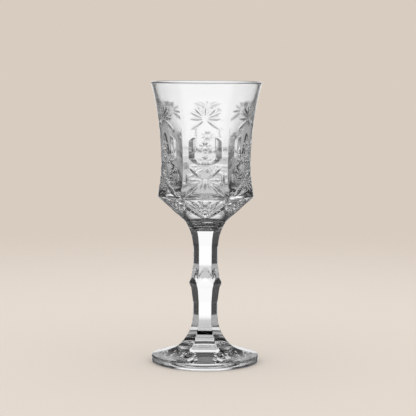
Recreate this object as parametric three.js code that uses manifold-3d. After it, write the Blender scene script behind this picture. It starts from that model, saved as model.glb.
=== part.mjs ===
// A pressed-glass wine goblet made of three glass pieces welded hot, one on top of the other:
// a foot, a six-sided stem with a faceted knop, and a six-panelled bowl with a cut-glass relief.
// Millimetres, +Z up. The foot stands on z = 0, the axis is Z, and one bowl panel faces -Y.
import * as THREE from 'three';
import { mergeVertices } from 'three/addons/utils/BufferGeometryUtils.js';
import Module from 'manifold-3d';

const wasm = await Module();
wasm.setup();
const { Manifold, Mesh: SolidMesh } = wasm;

// Foot
const FOOT_RADIUS = 34;
const FOOT_HEIGHT = 12;
const FOOT_RIDGE_EDGE = 3.8;
const FOOT_HOLLOW_EDGE = 3.3;
const FOOT_BOTTOM_ROUND = 0.6;
const STANDING_RING_WIDTH = 20;
const UNDERSIDE_DEPTH = 1;

// Stem, with radii measured to the corners of its six sides
const FOOT_WELD_RADIUS = 15.1;
const STEM_LENGTH = 77.5;
const STEM_RADIUS = 7.9;
const FOOT_FLARE_LENGTH = 19.5;
const HEAD_FLARE_LENGTH = 19.5;
const FLARE_POWER = 2.5;
const FLUTE_END_BELOW_BOWL = 4.3;
const FLUTE_END_SLOPE = 1.2;
const KNOP_RADIUS = 10.3;
const KNOP_ABOVE_FOOT_WELD = 38.2;
const KNOP_LOWER_SLOPE = 0.45;
const KNOP_UPPER_SLOPE = 0.5;
const KNOP_NECK_RISE = 1.6;
const KNOP_NECK_REACH = 12;
const BOWL_WELD_RADIUS = 13;

// Bowl, with outer radii measured in the six valleys between its panels
const COLLAR_RADIUS = 14.4;
const COLLAR_HEIGHT = 1.5;
const SHOULDER_RADIUS = 29.7;
const SHOULDER_ABOVE_WELD = 15.3;
const WAIST_RADIUS = 27.66;
const WAIST_ABOVE_SHOULDER = 21.2;
const RIM_RADIUS = 35;
const RIM_ABOVE_SHOULDER = 73.2;
const RIM_FLARE = 0.28;
const FLARE_AT_WAIST = 0.39;
const FLARE_AT_RIM = 0.27;
const LIP_THICKNESS = 2.2;
const LIP_ROUND = 0.9;
const WAIST_WALL = 6.8;
const INSIDE_DRAFT = 0.14;
const DRAFT_ABOVE_WAIST = 19;
const FLOOR_THICKNESS = 14.5;
const FLOOR_ROUND = 6;

// The six panels, which bulge between the valleys and run out under the plain lip
const PANELS = 6;
const PANEL_BULGE = 1.6;
const PLAIN_LIP = 12;

// Relief of a panel: heights are above the shoulder, rays are [direction in degrees, length, width]
const FAN_HEIGHT = 51;
const FAN_RAYS = [
  [-36, 11, 2.2], [0, 9.5, 1.8], [24, 10.5, 1.8], [46, 10.5, 1.7], [68, 9, 1.4], [90, 9.5, 1.4],
  [112, 9, 1.4], [134, 10.5, 1.7], [156, 10.5, 1.8], [180, 9.5, 1.8], [216, 11, 2.2],
];
const ROSETTE_HEIGHT = 25.2;
const ROSETTE_RAY_COUNT = 8;
const ROSETTE_RAY_LENGTH = 3.2;
const ROSETTE_RAY_WIDTH = 0.9;
const STAR_HEIGHT = 13;
const STAR_RAYS = [
  [-38, 16, 2.8], [-16, 9, 1.8], [4, 9.5, 2], [40, 12.5, 2.7], [140, 12.5, 2.7],
  [176, 9.5, 2], [196, 9, 1.8], [218, 16, 2.8], [245, 6.5, 1.4], [270, 6, 1.4], [295, 6.5, 1.4],
];
const RAY_START = 0.6;
const GROOVE_DEPTH_TO_WIDTH = 0.42;
const CHANNEL_BOTTOM_HEIGHT = 22.5;
const CHANNEL_TOP_HEIGHT = 40.5;
const CHANNEL_SPREAD = 8.4;
const CHANNEL_BEND = 4.5;
const CHANNEL_TUBE_RADIUS = 3;
const CHANNEL_DEPTH = 0.9;
const THUMBPRINT_HEIGHT = 14;
const THUMBPRINT_OFFSET = 11;
const THUMBPRINT_LENGTH = 6.5;
const THUMBPRINT_WIDTH = 2.2;

// Relief of the cone: two long leaves in a V under each panel, and crossing grooves parallel to them
const LEAF_ABOVE_SHOULDER = 1.5;
const LEAF_BELOW_SHOULDER = 9.6;
const LEAF_REACH = 20.7;
const LEAF_WIDTH = 3.4;
const LATTICE_ROWS = 2;
const LATTICE_PITCH = 3.6;
const LATTICE_WIDTH = 2;

// Facet counts
const ROUND_SEGMENTS = 48;
const FOOT_SEGMENTS = 72;
const PLUNGER_SEGMENTS = 36;
const PANEL_COLUMNS = 6;
const WALL_ROWS = 7;
const CHANNEL_STEPS = 8;
const CURVE_STEPS = 8;
const FINE_STEPS = 32;
const GROOVE_STEP = 9;
const OVERSHOOT = 2;

// Levels that follow from the sizes
const STEM_BASE_Z = FOOT_HEIGHT;
const BOWL_WELD_Z = STEM_BASE_Z + STEM_LENGTH;
const SHOULDER_Z = BOWL_WELD_Z + SHOULDER_ABOVE_WELD;
const WAIST_Z = SHOULDER_Z + WAIST_ABOVE_SHOULDER;
const RIM_Z = SHOULDER_Z + RIM_ABOVE_SHOULDER;
const LIP_Z = RIM_Z - LIP_ROUND;
const COLLAR_Z = BOWL_WELD_Z + COLLAR_HEIGHT;
const PANEL_TOP_Z = RIM_Z - PLAIN_LIP;
const SECTOR = (2 * Math.PI) / PANELS;
const HALF_SECTOR = SECTOR / 2;
const FLAT_TO_CORNER = Math.cos(HALF_SECTOR);
const CONE_SLOPE = (SHOULDER_RADIUS - COLLAR_RADIUS) / (SHOULDER_Z - COLLAR_Z);

// Steps of the quarter round on either side of the lip, as [distance into the wall, height].
const LIP_ARC = [30, 60, 90].map(THREE.MathUtils.degToRad)
  .map((angle) => [LIP_ROUND * (1 - Math.cos(angle)), LIP_ROUND * Math.sin(angle)]);

// A closed geometry as a solid that can be joined and cut.
function solidOf(geometry) {
  const bare = geometry.clone().deleteAttribute('normal').deleteAttribute('uv');
  const merged = mergeVertices(bare, 1e-4);
  const corners = merged.index.array;
  const triangles = [];
  for (let i = 0; i < corners.length; i += 3) {
    const [a, b, c] = [corners[i], corners[i + 1], corners[i + 2]];
    if (a !== b && b !== c && c !== a) triangles.push(a, b, c);
  }
  return new Manifold(new SolidMesh({
    numProp: 3,
    vertProperties: merged.attributes.position.array,
    triVerts: new Uint32Array(triangles),
  }));
}

// A solid's faces as a geometry for a mesh.
function geometryOf(solid) {
  const { vertProperties, triVerts } = solid.getMesh();
  const geometry = new THREE.BufferGeometry();
  geometry.setAttribute('position', new THREE.BufferAttribute(vertProperties, 3));
  geometry.setIndex(new THREE.BufferAttribute(triVerts, 1));
  geometry.computeVertexNormals();
  return geometry;
}

// A profile of [radius, height] points turned about Z. Six segments make a hexagon with corners on +-X.
function turned(profile, segments) {
  const points = profile.map(([radius, height]) => new THREE.Vector2(radius, height));
  return solidOf(new THREE.LatheGeometry(points, segments, HALF_SECTOR).rotateX(Math.PI / 2));
}

function range(count, make) {
  return Array.from({ length: count }, (_, index) => make(index));
}

// Evenly spaced [radius, height] points on a three.js plane curve.
function along(curve, steps = CURVE_STEPS) {
  return curve.getPoints(steps).map((point) => [point.x, point.y]);
}

// The foot: a round disc whose top is six hollow facets, with a shallow dome underneath.
function footSolid() {
  const standingInner = FOOT_RADIUS - STANDING_RING_WIDTH;
  const dome = new THREE.QuadraticBezierCurve(
    new THREE.Vector2(0, UNDERSIDE_DEPTH),
    new THREE.Vector2(standingInner / 2, UNDERSIDE_DEPTH),
    new THREE.Vector2(standingInner, 0),
  );
  const disc = turned([
    ...along(dome),
    [FOOT_RADIUS - FOOT_BOTTOM_ROUND, 0],
    [FOOT_RADIUS, FOOT_BOTTOM_ROUND],
    [FOOT_RADIUS, FOOT_HEIGHT + OVERSHOOT],
    [0, FOOT_HEIGHT + OVERSHOOT],
  ], FOOT_SEGMENTS);

  // The facets leave the weld along the stem's flare and level out to the edge; both slopes meet at the bend.
  const flareSlope = (FOOT_WELD_RADIUS - STEM_RADIUS) * FLARE_POWER / FOOT_FLARE_LENGTH;
  const edgeCorner = FOOT_RADIUS / FLAT_TO_CORNER;
  const edgeSlope = (FOOT_RIDGE_EDGE - FOOT_HOLLOW_EDGE) / (edgeCorner - FOOT_RADIUS);
  const acrossBoth = edgeCorner - FOOT_WELD_RADIUS - flareSlope * FOOT_HEIGHT;
  const bendZ = (FOOT_HOLLOW_EDGE + edgeSlope * acrossBoth) / (1 - edgeSlope * flareSlope);
  const bendRadius = edgeCorner - (bendZ - FOOT_HOLLOW_EDGE) / edgeSlope;
  const facets = new THREE.QuadraticBezierCurve(
    new THREE.Vector2(edgeCorner, FOOT_HOLLOW_EDGE),
    new THREE.Vector2(bendRadius, bendZ),
    new THREE.Vector2(FOOT_WELD_RADIUS, FOOT_HEIGHT),
  );
  const spread = edgeCorner + OVERSHOOT;
  const pyramid = turned([
    [0, -OVERSHOOT],
    [spread, -OVERSHOOT],
    [spread, FOOT_HOLLOW_EDGE - OVERSHOOT * edgeSlope],
    ...along(facets),
    [0, FOOT_HEIGHT],
  ], PANELS);
  return disc.intersect(pyramid);
}

// Corner radius of the stem at a height above its foot weld.
function stemRadius(height) {
  const intoFoot = Math.max(0, 1 - height / FOOT_FLARE_LENGTH);
  const intoHead = Math.max(0, 1 - (STEM_LENGTH - height) / HEAD_FLARE_LENGTH);
  const intoKnop = Math.max(0, 1 - Math.abs(height - KNOP_ABOVE_FOOT_WELD) / KNOP_NECK_REACH);
  return STEM_RADIUS
    + (FOOT_WELD_RADIUS - STEM_RADIUS) * intoFoot ** FLARE_POWER
    + (BOWL_WELD_RADIUS - STEM_RADIUS) * intoHead ** FLARE_POWER
    + KNOP_NECK_RISE * intoKnop;
}

// The knop: below its widest level the flutes widen, and above it six facets turned half a side
// bevel their corners, which leaves a gable on top of each flute.
function knopSolid() {
  const middle = STEM_BASE_Z + KNOP_ABOVE_FOOT_WELD;
  const inside = STEM_RADIUS / 2;
  const bottom = middle - (KNOP_RADIUS - inside) / KNOP_LOWER_SLOPE;
  const top = middle + (KNOP_RADIUS - inside) / KNOP_UPPER_SLOPE;
  const flutes = turned([
    [0, bottom], [inside, bottom], [KNOP_RADIUS, middle], [KNOP_RADIUS, top], [0, top],
  ], PANELS);
  const bevelCorner = (z) => (KNOP_RADIUS - KNOP_UPPER_SLOPE * (z - middle)) / FLAT_TO_CORNER;
  const bevels = turned([
    [0, bottom], [bevelCorner(bottom), bottom], [bevelCorner(top), top], [0, top],
  ], PANELS).rotate([0, 0, THREE.MathUtils.radToDeg(HALF_SECTOR)]);
  return flutes.intersect(bevels);
}

// The stem: six flutes that run out under the round head, and the knop.
function stemSolid() {
  const fluteEnd = STEM_LENGTH - FLUTE_END_BELOW_BOWL;
  const clear = FOOT_WELD_RADIUS + OVERSHOOT;
  const heights = [
    ...range(FINE_STEPS, (i) => (fluteEnd * i) / FINE_STEPS),
    ...range(CURVE_STEPS + 1, (i) => fluteEnd + (FLUTE_END_BELOW_BOWL * i) / CURVE_STEPS),
  ];
  const fluteRadius = (height) => stemRadius(height) + FLUTE_END_SLOPE * Math.max(0, height - fluteEnd);
  const roundRadius = (height) => (height < fluteEnd ? clear : stemRadius(height));
  const [fluted, round] = [[fluteRadius, PANELS], [roundRadius, ROUND_SEGMENTS]].map(([radius, segments]) => {
    const outline = heights.map((height) => [radius(height), STEM_BASE_Z + height]);
    return turned([[0, STEM_BASE_Z], ...outline, [0, BOWL_WELD_Z]], segments);
  });
  return fluted.intersect(round).add(knopSolid());
}

// Outer wall of the bowl in its valleys, from the shoulder up to the rim.
const wallBelowWaist = new THREE.CubicBezierCurve(
  new THREE.Vector2(SHOULDER_RADIUS, SHOULDER_Z),
  new THREE.Vector2(SHOULDER_RADIUS, SHOULDER_Z + WAIST_ABOVE_SHOULDER / 4),
  new THREE.Vector2(WAIST_RADIUS, WAIST_Z - WAIST_ABOVE_SHOULDER / 2),
  new THREE.Vector2(WAIST_RADIUS, WAIST_Z),
);
const flareHeight = LIP_Z - WAIST_Z;
const rimHandle = FLARE_AT_RIM * flareHeight;
const wallAboveWaist = new THREE.CubicBezierCurve(
  new THREE.Vector2(WAIST_RADIUS, WAIST_Z),
  new THREE.Vector2(WAIST_RADIUS, WAIST_Z + FLARE_AT_WAIST * flareHeight),
  new THREE.Vector2(RIM_RADIUS - RIM_FLARE * rimHandle, LIP_Z - rimHandle),
  new THREE.Vector2(RIM_RADIUS, LIP_Z),
);
const wallPoints = [
  ...along(wallBelowWaist, FINE_STEPS),
  ...along(wallAboveWaist, FINE_STEPS).slice(1),
];

// Radius of the wall in a valley at a height.
function wallRadius(z) {
  const above = Math.max(1, wallPoints.findIndex(([, height]) => height >= z));
  const [[r0, z0], [r1, z1]] = [wallPoints[above - 1], wallPoints[above]];
  return THREE.MathUtils.mapLinear(z, z0, z1, r0, r1);
}

// Radius at a height of the cone under the shoulder, which also trims the panels' lower edges.
function coneRadius(z) {
  return COLLAR_RADIUS + CONE_SLOPE * (z - COLLAR_Z);
}

// How much of its bulge a panel has at an angle: all of it in the panel's middle, nothing in a valley.
function bulgeShare(angle) {
  const aside = angle - SECTOR * Math.round(angle / SECTOR);
  return (1 - FLAT_TO_CORNER / Math.cos(aside)) / (1 - FLAT_TO_CORNER);
}

// Radius of the bowl's outside before its relief is cut, at an angle from the middle of a panel.
function panelRadius(angle, z) {
  const above = THREE.MathUtils.clamp((PANEL_TOP_Z - z) / (PANEL_TOP_Z - SHOULDER_Z), 0, 1);
  const bulge = PANEL_BULGE * (1 - (1 - above) ** 4);
  return Math.min(wallRadius(z) + bulge * bulgeShare(angle), coneRadius(z));
}

// A solid from rings of points, each ring closed. Its ends are flat on the axis, or rings drawn in to a point.
function ringedSolid(rings) {
  const count = rings[0].length;
  const flat = rings.flat();
  const bottom = flat.length;
  const top = bottom + 1;
  flat.push(new THREE.Vector3(0, 0, rings[0][0].z), new THREE.Vector3(0, 0, rings.at(-1)[0].z));
  const triangles = [];
  for (let i = 0; i < count; i++) {
    const j = (i + 1) % count;
    triangles.push(bottom, j, i);
    for (let row = 0; row + 1 < rings.length; row++) {
      const [low, high] = [row * count, (row + 1) * count];
      triangles.push(low + i, low + j, high + j, low + i, high + j, high + i);
    }
    const last = (rings.length - 1) * count;
    triangles.push(top, last + i, last + j);
  }
  const geometry = new THREE.BufferGeometry().setFromPoints(flat);
  geometry.setIndex(triangles);
  return solidOf(geometry);
}

function polar(radius, angle, z) {
  return new THREE.Vector3(radius * Math.sin(angle), -radius * Math.cos(angle), z);
}

// The bowl before its hollow and relief: collar, cone, bulging panels and rounded lip.
// The shoulder is the edge where the panels meet the cone, and it arches up with the bulge of each panel.
function bowlBlank() {
  const columns = range(PANELS * PANEL_COLUMNS, (i) => HALF_SECTOR + (i * SECTOR) / PANEL_COLUMNS);
  const round = (radius, z) => columns.map((angle) => polar(radius, angle, z));
  const panelled = (z) => columns.map((angle) => polar(panelRadius(angle, z), angle, z));
  const shoulder = columns.map((angle) => {
    const z = SHOULDER_Z + (PANEL_BULGE * bulgeShare(angle)) / CONE_SLOPE;
    return polar(coneRadius(z), angle, z);
  });
  const wallLevels = range(WALL_ROWS, (i) => THREE.MathUtils.lerp(SHOULDER_Z, LIP_Z, (i + 1) / WALL_ROWS));
  const lip = LIP_ARC.map(([inward, up]) => round(RIM_RADIUS - inward, LIP_Z + up));
  return ringedSolid([
    round(BOWL_WELD_RADIUS, BOWL_WELD_Z),
    round(COLLAR_RADIUS, COLLAR_Z),
    shoulder,
    ...wallLevels.map(panelled),
    ...lip,
  ]);
}

// The plunger that presses the bowl's smooth round inside, drafted so that it draws out of the glass.
function plungerSolid() {
  const floorZ = BOWL_WELD_Z + FLOOR_THICKNESS;
  const lipInside = RIM_RADIUS - LIP_THICKNESS;
  const drafted = (z) => new THREE.Vector2(WAIST_RADIUS - WAIST_WALL + INSIDE_DRAFT * (z - WAIST_Z), z);
  const corner = drafted(floorZ + FLOOR_ROUND);
  const floor = new THREE.CubicBezierCurve(
    new THREE.Vector2(0, floorZ),
    new THREE.Vector2(corner.x / 2, floorZ),
    drafted(floorZ),
    corner,
  );
  const wall = new THREE.CubicBezierCurve(
    corner,
    drafted(WAIST_Z + DRAFT_ABOVE_WAIST),
    new THREE.Vector2(lipInside - RIM_FLARE * rimHandle, LIP_Z - rimHandle),
    new THREE.Vector2(lipInside, LIP_Z),
  );
  const lip = LIP_ARC.map(([inward, up]) => [lipInside + inward, LIP_Z + up]);
  const mouth = lip.at(-1)[0];
  return turned([
    ...along(floor), ...along(wall).slice(1), ...lip, [mouth, RIM_Z + OVERSHOOT], [0, RIM_Z + OVERSHOOT],
  ], PLUNGER_SEGMENTS);
}

// Place on a panel's ground, at a distance across from its middle line and a height above the shoulder:
// a matrix whose X runs across the panel, Y up it and Z out of it.
function groundFrame(panel, across, height) {
  const z = SHOULDER_Z + height;
  const angle = across / Math.min(wallRadius(z), coneRadius(z));
  const step = 0.01;
  const at = (a, level) => polar(panelRadius(a, level), a + panel * SECTOR, level);
  const sideways = at(angle + step, z).sub(at(angle - step, z)).normalize();
  const up = at(angle, z + step).sub(at(angle, z - step)).normalize();
  const out = sideways.clone().cross(up).normalize();
  return new THREE.Matrix4().makeBasis(sideways, out.clone().cross(sideways), out).setPosition(at(angle, z));
}

// A cutter for a V-shaped groove with pointed ends between two places on a panel, [across, height] each.
// It follows the ground, and it is widest and deepest in its middle.
function grooveCutter(panel, start, end, width) {
  const [run, rise] = [end[0] - start[0], end[1] - start[1]];
  const length = Math.hypot(run, rise);
  const steps = Math.max(2, Math.round(length / GROOVE_STEP));
  const ring = (share) => {
    const taper = 4 * share * (1 - share);
    const [side, down] = [(taper * width) / 2, taper * width * GROOVE_DEPTH_TO_WIDTH];
    const place = groundFrame(panel, start[0] + share * run, start[1] + share * rise);
    return [[side, 0], [0, -down], [-side, 0], [0, down]].map(([aside, out]) =>
      new THREE.Vector3((aside * rise) / length, (-aside * run) / length, out).applyMatrix4(place));
  };
  return ringedSolid(range(steps + 1, (i) => ring(i / steps)));
}

// Cutters for the rays of a star: grooves that run out from its centre.
function starCutters(panel, height, rays) {
  return rays.map(([direction, length, width]) => {
    const angle = THREE.MathUtils.degToRad(direction);
    const at = (reach) => [reach * Math.cos(angle), height + reach * Math.sin(angle)];
    return grooveCutter(panel, at(RAY_START), at(RAY_START + length), width);
  });
}

// A cutter for a round hollow: a ball of few sides, stretched upright.
function thumbprintCutter(panel, side) {
  const ball = new THREE.SphereGeometry(1, 6, 3);
  ball.scale(THUMBPRINT_WIDTH / 2, THUMBPRINT_LENGTH / 2, THUMBPRINT_WIDTH * GROOVE_DEPTH_TO_WIDTH);
  return solidOf(ball.applyMatrix4(groundFrame(panel, side * THUMBPRINT_OFFSET, THUMBPRINT_HEIGHT)));
}

// A round channel in the shape of a U, pressed into the middle of a panel.
function channelCutter(panel) {
  const bend = range(9, (i) => Math.PI + (i * Math.PI) / 8)
    .map((a) => [CHANNEL_SPREAD * Math.cos(a), CHANNEL_BOTTOM_HEIGHT + CHANNEL_BEND * (1 + Math.sin(a))]);
  const route = [[-CHANNEL_SPREAD, CHANNEL_TOP_HEIGHT], ...bend, [CHANNEL_SPREAD, CHANNEL_TOP_HEIGHT]];
  const lift = CHANNEL_TUBE_RADIUS - CHANNEL_DEPTH;
  const points = route.map(([across, height]) =>
    new THREE.Vector3(0, 0, lift).applyMatrix4(groundFrame(panel, across, height)));
  const section = new THREE.Shape(range(8, (i) => new THREE.Vector2(
    CHANNEL_TUBE_RADIUS * Math.cos((i * Math.PI) / 4),
    CHANNEL_TUBE_RADIUS * Math.sin((i * Math.PI) / 4),
  )));
  const path = new THREE.CatmullRomCurve3(points);
  return solidOf(new THREE.ExtrudeGeometry(section, { steps: CHANNEL_STEPS, extrudePath: path }));
}

// Cutters of the cone under a panel: two leaves that meet in a V, and the crossing grooves between them.
function coneCutters(panel) {
  const slope = (LEAF_ABOVE_SHOULDER + LEAF_BELOW_SHOULDER) / LEAF_REACH;
  return [-1, 1].flatMap((side) => [
    grooveCutter(panel, [0, -LEAF_BELOW_SHOULDER], [side * LEAF_REACH, LEAF_ABOVE_SHOULDER], LEAF_WIDTH),
    ...range(LATTICE_ROWS, (i) => {
      const rise = (i + 1) * LATTICE_PITCH;
      const start = [(-side * rise) / slope / 2, rise / 2 - LEAF_BELOW_SHOULDER];
      const end = [side * (LEAF_REACH - rise / slope), LEAF_ABOVE_SHOULDER];
      return grooveCutter(panel, start, end, LATTICE_WIDTH);
    }),
  ]);
}

// All cutters of one panel's relief.
function panelCutters(panel) {
  const rosette = range(ROSETTE_RAY_COUNT, (i) =>
    [((i + 0.5) * 360) / ROSETTE_RAY_COUNT, ROSETTE_RAY_LENGTH, ROSETTE_RAY_WIDTH]);
  return [
    ...starCutters(panel, FAN_HEIGHT, FAN_RAYS),
    ...starCutters(panel, ROSETTE_HEIGHT, rosette),
    ...starCutters(panel, STAR_HEIGHT, STAR_RAYS),
    thumbprintCutter(panel, -1),
    thumbprintCutter(panel, 1),
    channelCutter(panel),
    ...coneCutters(panel),
  ];
}

// The bowl: the blank, hollowed by the plunger and cut with the relief of all six panels.
function bowlSolid() {
  const relief = range(PANELS, panelCutters).flat();
  return bowlBlank().subtract(plungerSolid()).subtract(Manifold.union(relief));
}

function glassPiece(name, solid) {
  const glass = new THREE.MeshStandardMaterial({ color: 0xf2f4f4, roughness: 0.05, metalness: 0 });
  const mesh = new THREE.Mesh(geometryOf(solid), glass);
  mesh.name = name;
  return mesh;
}

const goblet = new THREE.Group();
goblet.add(glassPiece('foot', footSolid()), glassPiece('stem', stemSolid()), glassPiece('bowl', bowlSolid()));

export default goblet;
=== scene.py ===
"""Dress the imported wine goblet: three pieces of clear pressed glass on a pale floor."""
import math

import bpy
import numpy as np
from bpy.props import FloatProperty, FloatVectorProperty, IntProperty, PointerProperty
from mathutils import Matrix, Vector


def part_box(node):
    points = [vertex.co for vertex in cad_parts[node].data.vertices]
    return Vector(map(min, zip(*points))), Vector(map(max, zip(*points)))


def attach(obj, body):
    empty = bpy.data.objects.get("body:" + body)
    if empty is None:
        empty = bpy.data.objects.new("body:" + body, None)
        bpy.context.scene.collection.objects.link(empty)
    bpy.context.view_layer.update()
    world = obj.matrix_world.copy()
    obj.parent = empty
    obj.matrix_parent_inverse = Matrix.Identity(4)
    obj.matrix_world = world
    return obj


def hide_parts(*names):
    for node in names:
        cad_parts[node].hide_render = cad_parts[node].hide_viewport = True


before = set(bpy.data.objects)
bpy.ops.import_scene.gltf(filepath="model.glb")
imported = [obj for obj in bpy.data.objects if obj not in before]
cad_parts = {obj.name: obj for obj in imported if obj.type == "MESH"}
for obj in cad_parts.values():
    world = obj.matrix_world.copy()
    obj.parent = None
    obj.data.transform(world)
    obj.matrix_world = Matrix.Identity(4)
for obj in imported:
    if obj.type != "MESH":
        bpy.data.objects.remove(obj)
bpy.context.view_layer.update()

bl_info = {
    "name": "Pressed Glass Goblet",
    "version": (1, 0, 0),
    "blender": (4, 5, 0),
    "location": "View3D > Sidebar > Goblet",
    "description": "Moulds the foot, stem and bowl of a pressed-glass goblet",
    "category": "Object",
}

MM = 0.001
PANELS = 6
SECTOR = 2 * math.pi / PANELS
FLAT_TO_CORNER = math.cos(SECTOR / 2)

FOOT_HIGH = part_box("foot")[1]
STEM_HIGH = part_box("stem")[1]
BOWL_LOW, BOWL_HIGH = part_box("bowl")

# Rays of the two stars on each bowl panel: direction in degrees, length and width in millimetres.
FAN_RAYS = (
    (-36, 11, 2.2), (0, 9.5, 1.8), (24, 10.5, 1.8), (46, 10.5, 1.7), (68, 8.5, 1.1), (90, 8, 1.0),
    (112, 8.5, 1.1), (134, 10.5, 1.7), (156, 10.5, 1.8), (180, 9.5, 1.8), (216, 11, 2.2),
)
STAR_RAYS = (
    (-38, 16, 2.8), (-16, 9, 1.8), (4, 9.5, 2.0), (40, 12.5, 2.7), (140, 12.5, 2.7), (176, 9.5, 2.0),
    (196, 9, 1.8), (218, 16, 2.8), (245, 6.5, 1.4), (270, 6.0, 1.4), (295, 6.5, 1.4),
)

# Steps round the axis, and rows of points up the stretches of the stem and of the bowl's outside.
ROUND_STEPS = 240
BOWL_ROUND_STEPS = 420
STEM_ROWS = (39, 89, 33, 29)
BOWL_ROWS = (33, 127, 8)

# Steps along the other lines of the three profiles.
STEPS = {
    "foot weld": 5, "foot top": 59, "facet": 96, "upper edge": 12, "lower edge": 6, "dome": 20,
    "bowl weld": 3, "collar": 4, "lower wall": 60, "upper wall": 120, "lip": 5, "inner wall": 22,
    "inner floor": 16,
}

# Rings on the flat ends of the stem, as shares of their radius.
END_RINGS = (0.25, 0.5, 0.75)

# Levels of the foot's blank before its top is pressed, as shares of its height.
BLANK_TOP = 0.8
BLANK_EDGE = 0.3

# Handles of the bowl's curves, as shares of the height that a curve spans.
SHOULDER_HANDLE = 0.25
WAIST_LOWER_HANDLE = 0.5
WAIST_UPPER_HANDLE = 0.39
RIM_HANDLE = 0.27

# Rounding of the hexagon at the foot's weld, for a radius of one.
HEXAGON_SOFTNESS = 0.02
# How late the panels' bulge fades out towards the plain lip.
BULGE_POWER = 4
# The least share of its full width at which a leaf's slopes are worked out.
LEAST_TAPER = 0.01
# A radius in metres that no piece reaches.
NO_LIMIT = 1.0

# Distances under which two places count as one, and the upright part of a level face's normal.
SLACK = 0.01 * MM
MERGE_DISTANCE = 0.001 * MM
LEVEL_NORMAL = 0.999

# Edges sharper than these angles in degrees stay sharp.
SHARP_ANGLE = 35
BOWL_SHARP_ANGLE = 50

# Fineness of the glass's waves and patches, and the noise at which a patch is smoothest and dullest.
WAVE_DETAIL = 2.0
PATCH_DETAIL = 4.0
SMOOTHEST_NOISE = 0.4
DULLEST_NOISE = 0.7

# Pairs of degrees for a wall that starts right behind the goblet, and for one that goes all the way round.
RIGHT_BEHIND = (-1, -2)
ALL_ROUND = (181, 182)

# Walls that glass sees: brightness, then near edge, far edge, top and bottom as degrees (full, gone). The
# table walls are painted light: a table painted dimmer than the lit floor, as painted shade; below the walls'
# bottoms the steep downward directions towards the front stay dark, a painted shadow under the foot.
STUDIO_WALLS = {
    "bright wall behind": (1.0, RIGHT_BEHIND, (15, 26), (18, 28), (-10, -26)),
    "dim wall over it": (0.1, RIGHT_BEHIND, (14, 26), (55, 70), (-10, -26)),
    # Painted shade: the table behind the goblet, painted dimmer than the lit floor.
    "painted shaded table behind": (0.6, RIGHT_BEHIND, (14, 26), (18, 28), (-40, -60)),
    "grey room": (0.04, RIGHT_BEHIND, ALL_ROUND, (26, 36), (-40, -60)),
    # Painted shade: the table at the corners, painted dimmer still.
    "painted shaded table at the corners": (0.42, (34, 28), (64, 72), (-12.5, -10.2), (-28, -40)),
    "side screens": (0.9, (85, 80), (95, 100), (6, 14), (-14, -22)),
    "bright room in front": (0.9, (124, 112), ALL_ROUND, (0, 10), (-40, -60)),
    # Painted shadow: the table straight under the foot, painted dim.
    "painted shadowed table under the foot": (0.55, RIGHT_BEHIND, (60, 150), (-52, -42), (-89, -90)),
}

# The two colours and the result of a colour mix, by the places of their sockets.
MIX_FIRST = 6
MIX_SECOND = 7
MIX_RESULT = 2

# Bounces of light through glass and off a gloss, and corners of the round floor.
GLASS_BOUNCES = 24
GLOSS_BOUNCES = 12
FLOOR_CORNERS = 96

# Width of the camera's sensor in millimetres, and the farthest distance that it sees in metres.
SENSOR_WIDTH = 36
FARTHEST_SEEN = 20


def linear(hex_colour):
    """An sRGB hex colour as linear red, green and blue."""
    parts = [int(hex_colour[i:i + 2], 16) / 255 for i in (1, 3, 5)]
    return tuple(p / 12.92 if p <= 0.04045 else ((p + 0.055) / 1.055) ** 2.4 for p in parts)


def size(name, description, default):
    """A length in metres that a user can change."""
    return FloatProperty(name=name, description=description, default=default, unit="LENGTH", precision=4)


def number(name, description, default):
    """A slope or another plain number that a user can change."""
    return FloatProperty(name=name, description=description, default=default)


def portion(name, description, default):
    """A number from nought to one that a user can change."""
    return FloatProperty(name=name, description=description, default=default, subtype="FACTOR", min=0, max=1)


def degrees(name, description, default):
    """An angle that a user can change."""
    return FloatProperty(name=name, description=description, default=math.radians(default), subtype="ANGLE")


def colour(name, description, hex_colour):
    """A colour that a user can change."""
    return FloatVectorProperty(name=name, description=description, default=linear(hex_colour),
                               subtype="COLOR", min=0, max=1)


class GobletFootSizes(bpy.types.PropertyGroup):
    radius: size("Radius", "Radius of the foot's round edge", FOOT_HIGH[0])
    height: size("Height", "Height of the weld between foot and stem", FOOT_HIGH[2])
    ridge_edge: size("Ridge edge", "Height of the edge where a ridge runs out", 5 * MM)
    hollow_edge: size("Hollow edge", "Height of the edge between two ridges", 4.5 * MM)
    top_round: size("Top rounding", "Rounding of the edge's upper side", 1.2 * MM)
    bottom_round: size("Bottom rounding", "Rounding of the edge's lower side", 1 * MM)
    standing_ring: size("Standing ring", "Width of the flat ring that touches the table", 20 * MM)
    dome: size("Dome", "Depth of the hollow underneath", 0.2 * MM)
    ridge_softness: size("Ridge softness", "Width over which a ridge is rounded", 2.5 * MM)
    weld_softness: portion("Weld softness", "Share of that rounding at the weld", 0.4)


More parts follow.
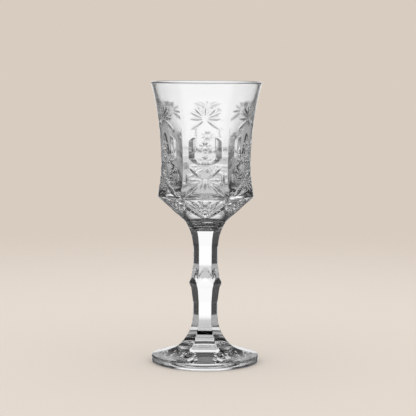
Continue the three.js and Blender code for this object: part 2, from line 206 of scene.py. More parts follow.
class GobletStemSizes(bpy.types.PropertyGroup):
    foot_weld_radius: size("Foot weld radius", "Corner radius at the foot", STEM_HIGH[0])
    radius: size("Radius", "Corner radius of the slim part", 7.9 * MM)
    flare_length: size("Flare length", "Length over which the stem widens at each end", 19.5 * MM)
    flare_power: number("Flare power", "How late the flares widen", 2.5)
    flute_end: size("Flute end", "Height at which the flutes start to run out", 85.2 * MM)
    flute_end_slope: number("Flute end slope", "How fast the flutes run out", 1.2)
    head_overlap: size("Head overlap", "How far the round head reaches down past that", 1 * MM)
    bowl_weld_radius: size("Bowl weld radius", "Radius of the round head under the bowl", 13 * MM)
    knop_radius: size("Knop radius", "Corner radius of the knop before it is rounded", 10.5 * MM)
    knop_height: size("Knop height", "Height of the knop's widest level", 50.2 * MM)
    knop_lower_slope: number("Knop lower slope", "Slope of the flutes below", 0.45)
    knop_upper_slope: number("Knop upper slope", "Slope of the bevels above", 0.43)
    knop_neck_rise: size("Knop neck rise", "How much the stem swells next to the knop", 1.6 * MM)
    knop_neck_reach: size("Knop neck reach", "Length of that swelling", 12 * MM)
    bevel_softness: size("Bevel softness", "Width over which two bevels round together", 3 * MM)
    edge_softness: size("Edge softness", "Width over which an edge is rounded", 0.35 * MM)


class GobletBowlSizes(bpy.types.PropertyGroup):
    weld_height: size("Weld height", "Height of the weld between stem and bowl", BOWL_LOW[2])
    rim_height: size("Rim height", "Height of the rim", BOWL_HIGH[2])
    rim_radius: size("Rim radius", "Outer radius of the rim", BOWL_HIGH[0])
    collar_radius: size("Collar radius", "Radius of the ring over the weld", 14.4 * MM)
    collar_height: size("Collar height", "Height of that ring", 1.5 * MM)
    shoulder_radius: size("Shoulder radius", "Radius of the shoulder at a valley", 29.7 * MM)
    shoulder_height: size("Shoulder height", "Height of the shoulder", 104.8 * MM)
    waist_radius: size("Waist radius", "Smallest radius of the wall at a valley", 27.66 * MM)
    waist_height: size("Waist height", "Height of the waist", 126 * MM)
    rim_flare: number("Rim flare", "Slope of the wall at the rim", 0.28)
    lip_thickness: size("Lip thickness", "Thickness of the wall at the rim", 2.2 * MM)
    lip_round: size("Lip rounding", "Rounding of the rim", 0.9 * MM)
    waist_wall: size("Waist wall", "Thickness of the wall at the waist, at a valley", 6.8 * MM)
    draft: number("Draft", "Widening of the inside for each unit of height", 0.14)
    draft_top: size("Draft top", "Height above the waist where the inside starts to flare", 19 * MM)
    floor_thickness: size("Floor thickness", "Glass between the inside and the weld", 14.5 * MM)
    floor_round: size("Floor rounding", "Height over which the floor turns into the wall", 6 * MM)
    bulge: size("Bulge", "How far the middle of a panel stands out over the valleys", 1.6 * MM)
    shoulder_round: size("Shoulder rounding", "Rounding between panel and cone", 0.5 * MM)
    plain_lip: size("Plain lip", "Height of the smooth band under the rim", 12 * MM)


class GobletReliefSizes(bpy.types.PropertyGroup):
    fan_height: size("Fan height", "Height of the fan's centre above the shoulder", 51 * MM)
    fan_depth: number("Fan depth", "Depth of the fan's rays for their width", 0.42)
    rosette_height: size("Rosette height", "Height of the small star above the shoulder", 25.2 * MM)
    bud_height: size("Bud height", "Height of the second small star above the shoulder", 34 * MM)
    rosette_depth: number("Rosette depth", "Depth of a small star's rays for their width", 0.55)
    rosette_rays: IntProperty(name="Rosette rays", description="Rays of a small star", default=8, min=3)
    rosette_length: size("Rosette ray length", "Length of a small star's rays", 3 * MM)
    rosette_width: size("Rosette ray width", "Width of a small star's rays", 1.3 * MM)
    star_height: size("Star height", "Height of the large star above the shoulder", 13 * MM)
    star_depth: number("Star depth", "Depth of the large star's rays for their width", 0.42)
    ray_start: size("Ray start", "Distance of a ray from its star's centre", 0.6 * MM)
    tongue_top: size("Tongue top", "Height of the tongue's square end above the shoulder", 40.5 * MM)
    tongue_bottom: size("Tongue bottom", "Height of its round end above the shoulder", 23.5 * MM)
    tongue_width: size("Tongue width", "Width of the tongue between its two channels", 12.3 * MM)
    tongue_round: size("Tongue round", "Height of the tongue's round end", 3.5 * MM)
    channel_width: size("Channel width", "Width of the channel beside the tongue", 4.2 * MM)
    channel_depth: size("Channel depth", "Depth of the channel along the tongue", 2.1 * MM)
    channel_step: size("Channel step", "Width of the channel's steep side along the tongue", 0.8 * MM)
    channel_narrows: portion("Channel narrows", "Share of its width that is left under the tongue", 0.45)
    channel_top_slope: number("Channel top slope", "How fast the channel's top falls outwards", 0.55)
    channel_top_run: size("Channel top run", "Height over which the channel's top gets deep", 1.5 * MM)
    thumbprint_height: size("Thumbprint height", "Height of the side hollows above the shoulder", 14 * MM)
    thumbprint_offset: size("Thumbprint offset", "Their distance from the middle line", 11 * MM)
    thumbprint_length: size("Thumbprint length", "Length of the side hollows", 6.5 * MM)
    thumbprint_width: size("Thumbprint width", "Width of the side hollows", 2.2 * MM)
    thumbprint_depth: size("Thumbprint depth", "Depth of the side hollows", 0.8 * MM)
    leaf_top: size("Leaf top", "Height above the shoulder where a leaf on the cone starts", 1.5 * MM)
    leaf_bottom: size("Leaf bottom", "Depth below the shoulder where two leaves meet", 11.5 * MM)
    leaf_reach: size("Leaf reach", "Distance of a leaf's start from the middle line", 20.7 * MM)
    leaf_width: size("Leaf width", "Width of the long leaves", 4.2 * MM)
    lattice_rows: IntProperty(name="Lattice rows", description="Grooves along each leaf", default=3, min=1)
    lattice_pitch: size("Lattice pitch", "Height between crossing grooves", 3.2 * MM)
    lattice_width: size("Lattice width", "Width of the crossing grooves", 2.0 * MM)
    cone_depth: number("Cone depth", "Depth of the cone's cuts for their width", 0.62)


class GobletGlassFinish(bpy.types.PropertyGroup):
    tint: colour("Tint", "Colour of the glass", "#ffffff")
    ior: number("IOR", "Refractive index of the glass", 1.52)
    polish: portion("Outside", "Roughness of the fire-polished outside", 0.02)
    inside: portion("Inside", "Roughness that the plunger leaves on the inside", 0.14)
    evenness: portion("Evenness", "Roughness of the smoothest patches for that of the dullest", 0.7)
    ripple: size("Ripple", "Distance between the soft waves that pressing leaves", 7 * MM)
    ripple_depth: size("Ripple depth", "Height of those waves", 0.01 * MM)
    patch: size("Patch", "Distance between smooth and dull patches", 7 / 3 * MM)


class GobletStage(bpy.types.PropertyGroup):
    camera_distance: size("Camera distance", "Level distance from the goblet's axis", 1012 * MM)
    camera_height: size("Camera height", "Height over the table", 200.2 * MM)
    camera_side: size("Camera side", "Shift of the camera to the right", 1.4 * MM)
    camera_tilt: degrees("Camera tilt", "Angle by which the camera looks down", 5.76)
    camera_roll: degrees("Camera roll", "Turn of the camera about its view", 0.33)
    camera_turn: degrees("Camera turn", "Angle of the camera round the goblet", 1)
    lens: number("Lens", "Focal length in millimetres", 139)
    floor_radius: size("Floor radius", "Radius at which the floor has faded out", 750 * MM)
    floor_solid: size("Floor solid", "Radius at which the floor starts to fade", 180 * MM)
    floor_colour: colour("Floor colour", "Colour of the table top", "#e6dcd2")
    backdrop_colour: colour("Backdrop colour", "Colour of the backdrop", "#d8ccc0")


def soft_min(a, b, width):
    """The smaller of two values, rounded off where they come within the width of each other."""
    share = np.clip(0.5 + 0.5 * (b - a) / width, 0, 1)
    return b * (1 - share) + a * share - width * share * (1 - share)


def soft_max(a, b, width):
    return -soft_min(-a, -b, width)


def smooth_step(value, start, end):
    share = np.clip((value - start) / (end - start), 0, 1)
    return share * share * (3 - 2 * share)


def bezier(points, steps):
    """Points (radius, height) on a Bezier curve of any degree."""
    share = np.linspace(0, 1, steps + 1)[:, None]
    points = [np.asarray(point, float) for point in points]
    while len(points) > 1:
        points = [a * (1 - share) + b * share for a, b in zip(points, points[1:])]
    return points[0]


def quarter_round(centre, radius, start, end, steps):
    """Points (radius, height) on an arc between two angles in degrees."""
    angles = np.radians(np.linspace(start, end, steps + 1))
    return np.column_stack((centre[0] + radius * np.cos(angles), centre[1] + radius * np.sin(angles)))


def level_line(start, end, height, steps):
    """Points (radius, height) on a level line between two radii."""
    return [(radius, height) for radius in np.linspace(start, end, steps + 1)]


def rows_between(heights, counts):
    """Heights of rows of points, with a count of steps between each two of the given heights."""
    stretches = zip(heights, heights[1:], counts)
    rows = [np.linspace(low, high, count + 1)[1:] for low, high, count in stretches]
    return np.concatenate((heights[:1], *rows))


def side_angle(angle):
    """Angle from the middle of the nearest of the six sides; one side faces -Y."""
    return (angle + SECTOR / 2) % SECTOR - SECTOR / 2


def six_sided(apothem, angle, softness):
    """Radius of a six-sided section with rounded corners, at an angle from -Y."""
    near = np.abs(side_angle(angle))
    return soft_min(apothem / np.cos(near), apothem / np.cos(SECTOR - near), softness)


def activate(piece):
    bpy.ops.object.select_all(action="DESELECT")
    piece.select_set(True)
    bpy.context.view_layer.objects.active = piece


def turned_blank(name, profile, steps):
    """Spin a profile of (radius, height) points about Z into a closed blank."""
    mesh = bpy.data.meshes.new(name)
    edges = [(i, i + 1) for i in range(len(profile) - 1)]
    mesh.from_pydata([(0, -radius, height) for radius, height in profile], edges, [])
    piece = bpy.data.objects.new(name, mesh)
    bpy.context.collection.objects.link(piece)
    activate(piece)
    bpy.ops.object.mode_set(mode="EDIT")
    bpy.ops.mesh.select_all(action="SELECT")
    bpy.ops.mesh.spin(steps=steps, angle=2 * math.pi, center=(0, 0, 0), axis=(0, 0, 1))
    bpy.ops.mesh.select_all(action="SELECT")
    bpy.ops.mesh.remove_doubles(threshold=MERGE_DISTANCE)
    bpy.ops.mesh.normals_make_consistent(inside=False)
    bpy.ops.object.mode_set(mode="OBJECT")
    return piece


def read_points(piece):
    points = np.empty(len(piece.data.vertices) * 3)
    piece.data.vertices.foreach_get("co", points)
    return points.reshape(-1, 3)


def write_points(piece, points):
    piece.data.vertices.foreach_set("co", points.ravel())
    piece.data.update()


def polar(points):
    """Radius, angle from -Y towards +X, and height of points."""
    return np.hypot(points[:, 0], points[:, 1]), np.arctan2(points[:, 0], -points[:, 1]), points[:, 2]


def from_polar(radius, angle, height):
    return np.column_stack((radius * np.sin(angle), -radius * np.cos(angle), height))


def foot_facet(sizes, stem):
    """Points (corner radius, height) down a facet: it leaves the stem's flare and runs out at the edge."""
    flare = (stem.foot_weld_radius - stem.radius) * stem.flare_power / stem.flare_length
    edge_corner = sizes.radius / FLAT_TO_CORNER
    edge_slope = (sizes.ridge_edge - sizes.hollow_edge) / (edge_corner - sizes.radius)
    both = edge_corner - stem.foot_weld_radius - flare * sizes.height
    bend_height = (sizes.hollow_edge + edge_slope * both) / (1 - edge_slope * flare)
    bend_radius = edge_corner - (bend_height - sizes.hollow_edge) / edge_slope
    return bezier(((stem.foot_weld_radius, sizes.height), (bend_radius, bend_height),
                   (edge_corner, sizes.hollow_edge)), STEPS["facet"])


def foot_piece(sizes, stem):
    """The foot: a disc whose top is pressed into six hollow facets, with a dome underneath."""
    facet = foot_facet(sizes, stem)
    top_level = BLANK_TOP * sizes.height
    edge_level = BLANK_EDGE * sizes.height
    top_end = sizes.radius - sizes.top_round
    ring_outer = sizes.radius - sizes.bottom_round
    ring_inner = sizes.radius - sizes.standing_ring
    foot = turned_blank("glass_foot", [
        *level_line(0, stem.foot_weld_radius, sizes.height, STEPS["foot weld"]),
        *level_line(stem.foot_weld_radius, top_end, top_level, STEPS["foot top"])[1:],
        *quarter_round((top_end, edge_level), sizes.top_round, 90, 0, STEPS["upper edge"])[1:],
        *quarter_round((ring_outer, sizes.bottom_round), sizes.bottom_round, 0, -90, STEPS["lower edge"]),
        *bezier(((ring_inner, 0), (ring_inner / 2, sizes.dome), (0, sizes.dome)), STEPS["dome"]),
    ], ROUND_STEPS)

    radius, angle, height = polar(read_points(foot))
    is_upper = height > sizes.bottom_round + SLACK
    is_edge = is_upper & (radius > top_end - SLACK) & (height < top_level - SLACK)
    into_edge = np.where(is_edge, height - edge_level - sizes.top_round, 0)
    roundness = smooth_step(radius, stem.foot_weld_radius, top_end)
    softness = sizes.ridge_softness * (sizes.weld_softness + roundness)
    hexagon = six_sided(FLAT_TO_CORNER, angle, HEXAGON_SOFTNESS)
    radius = np.where(is_upper, radius * (roundness + (1 - roundness) * hexagon), radius)
    across = np.abs(side_angle(angle))
    flat = soft_max(radius * np.cos(across), radius * np.cos(SECTOR - across), softness)
    pressed = np.interp(flat / FLAT_TO_CORNER, facet[:, 0], facet[:, 1])
    height = np.where(is_upper, pressed + into_edge, height)
    write_points(foot, from_polar(radius, angle, height))
    return foot


def stem_corner(sizes, low, high, height):
    """Corner radius of the stem at a height."""
    into_foot = np.clip(1 - (height - low) / sizes.flare_length, 0, 1)
    into_head = np.clip(1 - (high - height) / sizes.flare_length, 0, 1)
    into_knop = np.clip(1 - np.abs(height - sizes.knop_height) / sizes.knop_neck_reach, 0, 1)
    return (sizes.radius
            + (sizes.foot_weld_radius - sizes.radius) * into_foot ** sizes.flare_power
            + (sizes.bowl_weld_radius - sizes.radius) * into_head ** sizes.flare_power
            + sizes.knop_neck_rise * into_knop)


def stem_piece(sizes, low, high):
    """The stem: six flutes that run out under a round head, and a knop with a gable on top of each flute."""
    knop_low = sizes.knop_height - sizes.knop_neck_reach
    knop_high = sizes.knop_height + sizes.knop_neck_reach
    head_low = sizes.flute_end - sizes.head_overlap
    blank_radius = sizes.foot_weld_radius
    stem = turned_blank("glass_stem", [
        (0, low),
        *((blank_radius * share, low) for share in END_RINGS),
        *((blank_radius, row) for row in rows_between((low, knop_low, knop_high, head_low, high), STEM_ROWS)),
        *((blank_radius * share, high) for share in reversed(END_RINGS)),
        (0, high),
    ], ROUND_STEPS)

    radius, angle, height = polar(read_points(stem))
    share = radius / blank_radius
    soft = sizes.edge_softness
    corner = stem_corner(sizes, low, high, height)
    past_end = np.clip(height - sizes.flute_end, 0, None)
    fluted = six_sided((corner + sizes.flute_end_slope * past_end) * FLAT_TO_CORNER, angle, soft)
    round_head = np.where(height > head_low, corner, NO_LIMIT)
    shaft = soft_min(fluted, round_head, soft)
    above = height - sizes.knop_height
    below = np.clip(-above, 0, None)
    flutes = six_sided((sizes.knop_radius - sizes.knop_lower_slope * below) * FLAT_TO_CORNER, angle, soft)
    bevel = sizes.knop_radius - sizes.knop_upper_slope * above
    bevels = six_sided(bevel, angle + SECTOR / 2, sizes.bevel_softness)
    whole = soft_max(shaft, soft_min(flutes, bevels, soft), soft)
    write_points(stem, from_polar(whole * share, angle, height))
    return stem


def bowl_wall(sizes):
    """Points (radius, height) of the bowl's outside at a valley, from the shoulder to the rim."""
    lip = sizes.rim_height - sizes.lip_round
    rise = sizes.waist_height - sizes.shoulder_height
    flare = lip - sizes.waist_height
    below = bezier((
        (sizes.shoulder_radius, sizes.shoulder_height),
        (sizes.shoulder_radius, sizes.shoulder_height + SHOULDER_HANDLE * rise),
        (sizes.waist_radius, sizes.waist_height - WAIST_LOWER_HANDLE * rise),
        (sizes.waist_radius, sizes.waist_height),
    ), STEPS["lower wall"])
    above = bezier((
        (sizes.waist_radius, sizes.waist_height),
        (sizes.waist_radius, sizes.waist_height + WAIST_UPPER_HANDLE * flare),
        (sizes.rim_radius - sizes.rim_flare * RIM_HANDLE * flare, lip - RIM_HANDLE * flare),
        (sizes.rim_radius, lip),
    ), STEPS["upper wall"])
    return np.concatenate((below, above[1:]))


class BowlGround:
    """The pressed outside of the bowl: six bulging panels with valleys between them, over a plain cone."""

    def __init__(self, sizes):
        self.sizes = sizes
        self.collar = sizes.weld_height + sizes.collar_height
        self.panel_top = sizes.rim_height - sizes.plain_lip
        self.lip = sizes.rim_height - sizes.lip_round
        self.wall = bowl_wall(sizes)

    def wall_radius(self, height):
        return np.interp(height, self.wall[:, 1], self.wall[:, 0])

    def cone_radius(self, height):
        sizes = self.sizes
        slope = (sizes.shoulder_radius - sizes.collar_radius) / (sizes.shoulder_height - self.collar)
        return sizes.collar_radius + slope * (height - self.collar)

    def valley_radius(self, height):
        return np.minimum(self.wall_radius(height), self.cone_radius(height))

    def radius(self, angle, height):
        """Radius of the outside before the relief is pressed in."""
        sizes = self.sizes
        below_top = np.clip((self.panel_top - height) / (self.panel_top - sizes.shoulder_height), 0, 1)
        share = (1 - FLAT_TO_CORNER / np.cos(side_angle(angle))) / (1 - FLAT_TO_CORNER)
        panel = self.wall_radius(height) + sizes.bulge * (1 - (1 - below_top) ** BULGE_POWER) * share
        return soft_min(panel, self.cone_radius(height), sizes.shoulder_round)


def leaf_cut(across, height, start, end, width, depth):
    """Depth of a soft groove between two places on a panel, widest in its middle and pointed at both ends."""
    run, rise = end[0] - start[0], end[1] - start[1]
    length = math.hypot(run, rise)
    along = ((across - start[0]) * run + (height - start[1]) * rise) / length ** 2
    aside = np.abs((across - start[0]) * rise - (height - start[1]) * run) / length
    taper = np.clip(4 * along * (1 - along), 0, 1)
    reach = np.clip(2 * aside / (width * np.maximum(taper, LEAST_TAPER)), 0, 1)
    return depth * taper * (1 + np.cos(math.pi * reach)) / 2


def star_cuts(across, height, rays, ray_start, depth_to_width):
    """Depths of the rays of a star round the place (0, 0)."""
    for direction, length, width in rays:
        turn = math.radians(direction)
        way = np.array((math.cos(turn), math.sin(turn)))
        end = way * (ray_start + length * MM)
        yield leaf_cut(across, height, way * ray_start, end, width * MM, width * MM * depth_to_width)


def hollow_cut(across, height, length, width, depth):
    """Depth of a round hollow at the place (0, 0)."""
    return depth * np.clip(1 - (2 * across / width) ** 2 - (2 * height / length) ** 2, 0, 1)


def channel_cut(across, height, relief):
    """Depth of the channel round a tongue: steep at the tongue, rising gently outwards."""
    half, bend = relief.tongue_width / 2, relief.tongue_round
    into_bend = np.clip((relief.tongue_bottom + bend - height) / bend, 0, None)
    outside = half * (np.hypot(np.abs(across) / half, into_bend) - 1)
    width = relief.channel_width * (1 - (1 - relief.channel_narrows) * np.clip(into_bend, 0, 1))
    below_top = relief.tongue_top - relief.channel_top_slope * outside - height
    top = smooth_step(below_top, 0, relief.channel_top_run)
    step = smooth_step(outside, 0, relief.channel_step)
    return relief.channel_depth * top * step * np.clip(1 - outside / width, 0, 1)


def cone_cuts(across, height, around, relief):
    """Depths of two long leaves that make a V under each panel, and of grooves that cross inside it."""
    slope = (relief.leaf_top + relief.leaf_bottom) / relief.leaf_reach
    for neighbour in (-1, 0, 1):
        beside = np.abs(across - neighbour * SECTOR * around)
        yield leaf_cut(beside, height, (0, -relief.leaf_bottom), (relief.leaf_reach, relief.leaf_top),
                       relief.leaf_width, relief.leaf_width * relief.cone_depth)
    for row in range(1, relief.lattice_rows + 1):
        rise = row * relief.lattice_pitch
        start = (-rise / slope / 2, rise / 2 - relief.leaf_bottom)
        end = (relief.leaf_reach - rise / slope, relief.leaf_top)
        for side in (-1, 1):
            yield leaf_cut(side * across, height, start, end, relief.lattice_width,
                           relief.lattice_width * relief.cone_depth)


def relief_depth(ground, relief, angle, height):
    """Depth of the whole relief at points of the bowl's outside."""
    around = ground.valley_radius(height)
    across = side_angle(angle) * around
    height = height - ground.sizes.shoulder_height
    rosette = [(360 * (i + 0.5) / relief.rosette_rays, relief.rosette_length / MM, relief.rosette_width / MM)
               for i in range(relief.rosette_rays)]
    return np.maximum.reduce([
        *star_cuts(across, height - relief.fan_height, FAN_RAYS, relief.ray_start, relief.fan_depth),
        *star_cuts(across, height - relief.rosette_height, rosette, relief.ray_start, relief.rosette_depth),
        *star_cuts(across, height - relief.bud_height, rosette, relief.ray_start, relief.rosette_depth),
        *star_cuts(across, height - relief.star_height, STAR_RAYS, relief.ray_start, relief.star_depth),
        channel_cut(across, height, relief),
        hollow_cut(np.abs(across) - relief.thumbprint_offset, height - relief.thumbprint_height,
                   relief.thumbprint_length, relief.thumbprint_width, relief.thumbprint_depth),
        *cone_cuts(across, height, around, relief),
    ])


def bowl_inside(sizes, lip):
    """Points (radius, height) of the smooth round inside, from under the lip to the middle of the floor."""
    lip_inside = sizes.rim_radius - sizes.lip_thickness
    flare = lip - sizes.waist_height
    floor = sizes.weld_height + sizes.floor_thickness

    def drafted(height):
        return sizes.waist_radius - sizes.waist_wall + sizes.draft * (height - sizes.waist_height), height

    corner = drafted(floor + sizes.floor_round)
    wall = bezier((
        (lip_inside, lip),
        (lip_inside - sizes.rim_flare * RIM_HANDLE * flare, lip - RIM_HANDLE * flare),
        drafted(sizes.waist_height + sizes.draft_top),
        corner,
    ), STEPS["inner wall"])
    bottom = bezier((corner, drafted(floor), (corner[0] / 2, floor), (0, floor)), STEPS["inner floor"])
    return [*wall[1:], *bottom[1:]]


def bowl_piece(sizes, relief, stem_radius):
    """The bowl: collar, cone, panelled wall with its relief, lip and smooth round inside."""
    ground = BowlGround(sizes)
    rows = rows_between((ground.collar, sizes.shoulder_height, ground.panel_top, ground.lip), BOWL_ROWS)[1:]
    weld_edge = (stem_radius, sizes.weld_height)
    collar_edge = (sizes.collar_radius, ground.collar)
    lip_outer = (sizes.rim_radius - sizes.lip_round, ground.lip)
    lip_inner = (sizes.rim_radius - sizes.lip_thickness + sizes.lip_round, ground.lip)
    bowl = turned_blank("glass_bowl", [
        *level_line(0, stem_radius, sizes.weld_height, STEPS["bowl weld"]),
        *bezier((weld_edge, collar_edge), STEPS["collar"])[1:],
        *((ground.valley_radius(row), row) for row in rows),
        *quarter_round(lip_outer, sizes.lip_round, 0, 90, STEPS["lip"])[1:],
        *quarter_round(lip_inner, sizes.lip_round, 90, 180, STEPS["lip"]),
        *bowl_inside(sizes, ground.lip),
    ], BOWL_ROUND_STEPS)

    radius, angle, height = polar(read_points(bowl))
    is_outside = radius > ground.valley_radius(height) - SLACK
    is_wall = is_outside & (height > ground.collar) & (height <= ground.lip)
    pressed = ground.radius(angle, height) - relief_depth(ground, relief, angle, height)
    radius = np.where(is_wall, pressed, radius)
    write_points(bowl, from_polar(radius, angle, height))
    return bowl


def smooth_glass(piece, sharp_angle):
    activate(piece)
    bpy.ops.object.shade_smooth_by_angle(angle=math.radians(sharp_angle))


def add_node(tree, kind, inputs=(), **settings):
    """Add a node with its settings; inputs are (socket, value or another node's output)."""
    node = tree.nodes.new(kind)
    for name, value in settings.items():
        setattr(node, name, value)
    for socket, value in inputs:
        if isinstance(value, bpy.types.NodeSocket):
            tree.links.new(value, node.inputs[socket])
        else:
            node.inputs[socket].default_value = value
    return node


def new_material(name):
    material = bpy.data.materials.new(name)
    material.use_nodes = True
    material.node_tree.nodes.clear()
    return material, material.node_tree


def pressed_glass(name, finish, dullest):
    """Soda-lime glass, pressed in a mould: clear and bright, with faint soft waves and an uneven skin."""
    material, tree = new_material(name)
    place = add_node(tree, "ShaderNodeTexCoord").outputs["Object"]
    waves = add_node(tree, "ShaderNodeTexNoise",
                     (("Vector", place), ("Scale", 1 / finish.ripple),
                      ("Detail", WAVE_DETAIL))).outputs["Fac"]
    bump = add_node(tree, "ShaderNodeBump",
                    (("Strength", 1.0), ("Distance", finish.ripple_depth),
                     ("Height", waves))).outputs["Normal"]
    patches = add_node(tree, "ShaderNodeTexNoise",
                       (("Vector", place), ("Scale", 1 / finish.patch),
                        ("Detail", PATCH_DETAIL))).outputs["Fac"]
    skin = add_node(tree, "ShaderNodeMapRange",
                    (("Value", patches), ("From Min", SMOOTHEST_NOISE), ("From Max", DULLEST_NOISE),
                     ("To Min", dullest * finish.evenness), ("To Max", dullest))).outputs["Result"]
    glass = add_node(tree, "ShaderNodeBsdfPrincipled",
                     (("Base Color", (*finish.tint, 1)), ("Transmission Weight", 1.0), ("IOR", finish.ior),
                      ("Roughness", skin), ("Normal", bump))).outputs["BSDF"]
    add_node(tree, "ShaderNodeOutputMaterial", (("Surface", glass),))
    return material


def fused_weld(name):
    """The hot weld between two pieces: the glass runs through it, so nothing of the face is seen."""
    material, tree = new_material(name)
    clear = add_node(tree, "ShaderNodeBsdfPrincipled", (("Alpha", 0.0), ("Roughness", 0.0))).outputs["BSDF"]
    add_node(tree, "ShaderNodeOutputMaterial", (("Surface", clear),))
    return material


def finish_piece(piece, node, weld_heights):
    """Give a piece its glass, with clear welds at the given heights, and let it stand for its CAD node."""
    finish = bpy.context.scene.goblet_glass
    glass_name, weld_name = "fire_polished_pressed_glass", "fused_glass_weld"
    glass = bpy.data.materials.get(glass_name) or pressed_glass(glass_name, finish, finish.polish)
    weld = bpy.data.materials.get(weld_name) or fused_weld(weld_name)
    piece.data.materials.clear()
    piece.data.materials.append(glass)
    piece.data.materials.append(weld)
    for face in piece.data.polygons:
        is_level = abs(face.normal.z) > LEVEL_NORMAL
        at_weld = any(abs(face.center.z - height) < SLACK for height in weld_heights)
        face.material_index = int(is_level and at_weld)
    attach(piece, "root")
    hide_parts(node)


def dull_inside(bowl, sizes, finish):
    """Give the inside the plunger's softer skin, which blurs what is seen through it from afar."""
    bowl.data.materials.append(pressed_glass("plunger_pressed_glass", finish, finish.inside))
    floor = sizes.weld_height + sizes.floor_thickness
    for face in bowl.data.polygons:
        outwards = face.normal.x * face.center.x + face.normal.y * face.center.y
        if face.center.z > floor - SLACK and outwards < 0:
            face.material_index = len(bowl.data.materials) - 1


class GOBLET_OT_foot(bpy.types.Operator):
    """Mould the foot"""
    bl_idname = "goblet.foot"
    bl_label = "Foot"

    def execute(self, context):
        scene = context.scene
        foot = foot_piece(scene.goblet_foot, scene.goblet_stem)
        smooth_glass(foot, SHARP_ANGLE)
        finish_piece(foot, "foot", [scene.goblet_foot.height])
        return {"FINISHED"}


class GOBLET_OT_stem(bpy.types.Operator):
    """Mould the stem with its knop"""
    bl_idname = "goblet.stem"
    bl_label = "Stem"

    def execute(self, context):
        scene = context.scene
        low, high = scene.goblet_foot.height, scene.goblet_bowl.weld_height
        stem = stem_piece(scene.goblet_stem, low, high)
        smooth_glass(stem, SHARP_ANGLE)
        finish_piece(stem, "stem", [low, high])
        return {"FINISHED"}


class GOBLET_OT_bowl(bpy.types.Operator):
    """Mould the bowl with its relief"""
    bl_idname = "goblet.bowl"
    bl_label = "Bowl"

    def execute(self, context):
        scene = context.scene
        bowl = bowl_piece(scene.goblet_bowl, scene.goblet_relief, scene.goblet_stem.bowl_weld_radius)
        smooth_glass(bowl, BOWL_SHARP_ANGLE)
        finish_piece(bowl, "bowl", [scene.goblet_bowl.weld_height])
        dull_inside(bowl, scene.goblet_bowl, scene.goblet_glass)
        return {"FINISHED"}


def studio_walls(tree):
    """Brightness of the studio by direction: the brightest of its walls, each fading at its edges; the table
    walls among them are painted shade and a painted shadow under the foot.
    """
    way = add_node(tree, "ShaderNodeTexCoord").outputs["Generated"]
    parts = add_node(tree, "ShaderNodeSeparateXYZ", ((0, way),)).outputs
    turn = add_node(tree, "ShaderNodeMath", ((0, parts["X"]), (1, parts["Y"])),
                    operation="ARCTAN2").outputs[0]
    aside = add_node(tree, "ShaderNodeMath", ((0, turn),), operation="ABSOLUTE").outputs[0]
    rise = parts["Z"]
    studio = 0.0
    for brightness, near_edge, far_edge, top, bottom in STUDIO_WALLS.values():
        wall = brightness
        for place, (full, gone) in (
            (aside, np.radians(near_edge)), (aside, np.radians(far_edge)),
            (rise, np.sin(np.radians(top))), (rise, np.sin(np.radians(bottom))),
        ):
            wall = add_node(tree, "ShaderNodeMapRange",
                            (("Value", place), ("From Min", gone), ("From Max", full), ("To Max", wall)),
                            interpolation_type="SMOOTHSTEP").outputs["Result"]
        studio = add_node(tree, "ShaderNodeMath", ((0, studio), (1, wall)), operation="MAXIMUM").outputs[0]
    return studio


def seen_through_glass(tree):
    """One where glass or a gloss looks, nought for the camera and for soft light."""
    path = add_node(tree, "ShaderNodeLightPath").outputs
    return add_node(tree, "ShaderNodeMath", ((0, path["Is Transmission Ray"]), (1, path["Is Glossy Ray"])),
                    operation="MAXIMUM").outputs[0]


def pale_floor(stage):
    """A pale table top that fades into the backdrop; through glass only the studio shows, with its painted
    table, painted shade and painted shadow under the foot.
    """
    bpy.ops.object.select_all(action="DESELECT")
    bpy.ops.mesh.primitive_circle_add(vertices=FLOOR_CORNERS, radius=stage.floor_radius, fill_type="NGON")
    floor = bpy.context.active_object
    floor.name = "pale_floor"
    material, tree = new_material("matt_pale_table")
    place = add_node(tree, "ShaderNodeTexCoord").outputs["Object"]
    away = add_node(tree, "ShaderNodeVectorMath", ((0, place),), operation="LENGTH").outputs["Value"]
    fade = add_node(tree, "ShaderNodeMapRange",
                    (("Value", away), ("From Min", stage.floor_solid), ("From Max", stage.floor_radius)),
                    interpolation_type="SMOOTHSTEP").outputs["Result"]
    clear = add_node(tree, "ShaderNodeMath", ((0, fade), (1, seen_through_glass(tree))),
                     operation="MAXIMUM").outputs[0]
    matt = add_node(tree, "ShaderNodeBsdfDiffuse", (("Color", (*stage.floor_colour, 1)),)).outputs["BSDF"]
    gone = add_node(tree, "ShaderNodeBsdfTransparent").outputs["BSDF"]
    whole = add_node(tree, "ShaderNodeMixShader", ((0, clear), (1, matt), (2, gone))).outputs["Shader"]
    add_node(tree, "ShaderNodeOutputMaterial", (("Surface", whole),))
    floor.data.materials.append(material)


def studio_world(stage):
    """Pale backdrop and even soft light; glass and gloss see the studio's walls, its painted, shaded table
    with a painted shadow under the foot, and the dark between them.
    """
    world = bpy.data.worlds.new("studio")
    world.use_nodes = True
    bpy.context.scene.world = world
    tree = world.node_tree
    tree.nodes.clear()
    path = add_node(tree, "ShaderNodeLightPath").outputs
    plain = add_node(tree, "ShaderNodeMix",
                     ((0, path["Is Camera Ray"]), (MIX_FIRST, (1, 1, 1, 1)),
                      (MIX_SECOND, (*stage.backdrop_colour, 1))),
                     data_type="RGBA").outputs[MIX_RESULT]
    seen = add_node(tree, "ShaderNodeMix",
                    ((0, seen_through_glass(tree)), (MIX_FIRST, plain), (MIX_SECOND, studio_walls(tree))),
                    data_type="RGBA").outputs[MIX_RESULT]
    background = add_node(tree, "ShaderNodeBackground", (("Color", seen), ("Strength", 1.0))).outputs[0]
    add_node(tree, "ShaderNodeOutputWorld", (("Surface", background),))


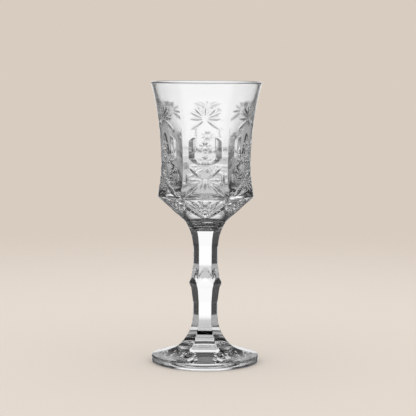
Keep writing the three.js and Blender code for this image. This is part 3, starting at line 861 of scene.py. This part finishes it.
def photo_camera(stage):
    data = bpy.data.cameras.new("photo_camera")
    data.sensor_width = SENSOR_WIDTH
    data.lens = stage.lens
    data.clip_end = FARTHEST_SEEN
    camera = bpy.data.objects.new("photo_camera", data)
    bpy.context.collection.objects.link(camera)
    turn = Matrix.Rotation(stage.camera_turn, 3, "Z")
    camera.location = turn @ Vector((stage.camera_side, -stage.camera_distance, stage.camera_height))
    tilt = Matrix.Rotation(math.pi / 2 - stage.camera_tilt, 3, "X")
    camera.rotation_euler = (turn @ tilt @ Matrix.Rotation(stage.camera_roll, 3, "Z")).to_euler()
    bpy.context.scene.camera = camera


class GOBLET_OT_stage(bpy.types.Operator):
    """Set up the floor, the light and the camera"""
    bl_idname = "goblet.stage"
    bl_label = "Stage"

    def execute(self, context):
        scene = context.scene
        scene.view_settings.view_transform = "Standard"
        scene.cycles.max_bounces = GLASS_BOUNCES
        scene.cycles.transmission_bounces = GLASS_BOUNCES
        scene.cycles.glossy_bounces = GLOSS_BOUNCES
        pale_floor(scene.goblet_stage)
        studio_world(scene.goblet_stage)
        photo_camera(scene.goblet_stage)
        return {"FINISHED"}


class GOBLET_PT_panel(bpy.types.Panel):
    bl_label = "Pressed Glass Goblet"
    bl_idname = "GOBLET_PT_panel"
    bl_space_type = "VIEW_3D"
    bl_region_type = "UI"
    bl_category = "Goblet"

    def draw(self, context):
        for operator in OPERATORS:
            self.layout.operator(operator.bl_idname)


SETTINGS = {
    "goblet_foot": GobletFootSizes,
    "goblet_stem": GobletStemSizes,
    "goblet_bowl": GobletBowlSizes,
    "goblet_relief": GobletReliefSizes,
    "goblet_glass": GobletGlassFinish,
    "goblet_stage": GobletStage,
}
OPERATORS = (GOBLET_OT_foot, GOBLET_OT_stem, GOBLET_OT_bowl, GOBLET_OT_stage)


def register():
    for kind in (*SETTINGS.values(), *OPERATORS, GOBLET_PT_panel):
        bpy.utils.register_class(kind)
    for name, kind in SETTINGS.items():
        setattr(bpy.types.Scene, name, PointerProperty(type=kind))


def unregister():
    for name in SETTINGS:
        delattr(bpy.types.Scene, name)
    for kind in (GOBLET_PT_panel, *OPERATORS, *SETTINGS.values()):
        bpy.utils.unregister_class(kind)


def main():
    register()
    bpy.ops.goblet.foot()
    bpy.ops.goblet.stem()
    bpy.ops.goblet.bowl()
    bpy.ops.goblet.stage()


if __name__ == "__main__":
    main()
